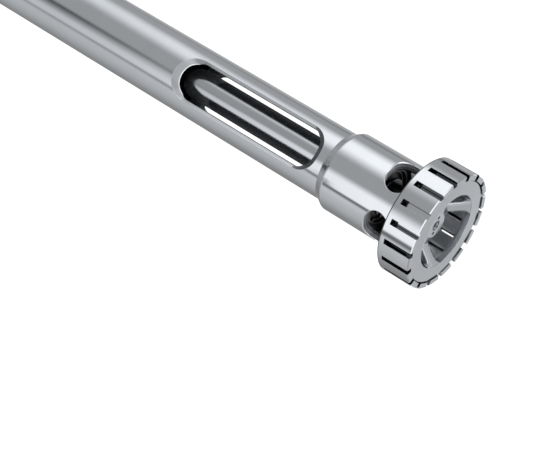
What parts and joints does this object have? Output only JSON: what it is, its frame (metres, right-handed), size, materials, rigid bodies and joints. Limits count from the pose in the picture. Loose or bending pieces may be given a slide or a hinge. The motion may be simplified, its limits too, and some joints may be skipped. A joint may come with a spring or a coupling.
{
  "type": "homogenizer probe",
  "caption": "Steel rotor-stator dispersing probe: a slotted head with a turning rotor on a ported collar and a windowed stem tube with a drive-end socket.",
  "frame": {"origin": "centre of the drive-end socket's flat end face, on which the probe stands", "axes": "+Z along the drive shaft from the socket to the slotted head; the pictured side, with one stem window, faces -Y; +X to its right"},
  "size_m": [0.046, 0.046, 0.3],
  "materials": {
    "head_steel": "polished",
    "rotor_steel": "satin",
    "stem_steel": "polished",
    "shaft_steel": "ground",
    "socket_steel": "satin",
    "fastener_steel": "satin",
    "spring_steel": "dull",
    "bush_polymer": "matt",
    "seal_rubber": "matt"
  },
  "bodies": {
    "housing": {"shaft_tube": "stem_steel", "bearing_housing": "head_steel", "stator_ring": "head_steel", "front_bush": "bush_polymer", "bush_retaining_ring": "spring_steel", "bush_seal_ring": "seal_rubber", "shaft_seal": "seal_rubber", "drive_socket": "socket_steel", "lock_screws": "fastener_steel", "socket_seal_ring": "seal_rubber", "rear_bush": "bush_polymer", "rear_retaining_ring": "spring_steel"},
    "rotor_assembly": {"drive_shaft": "shaft_steel", "rotor": "rotor_steel", "rotor_screw": "fastener_steel", "rotor_key": "fastener_steel", "rotor_shim": "fastener_steel", "shaft_clips": "spring_steel", "shaft_spacer": "fastener_steel", "drive_coupling": "shaft_steel", "coupling_pin": "fastener_steel"}
  },
  "joints": [
    {"name": "rotor_spin", "type": "hinge", "parent": "housing", "child": "rotor_assembly", "pos_m": [0, 0, 0.15], "axis": [0, 0, 1], "continuous": true}
  ]
}
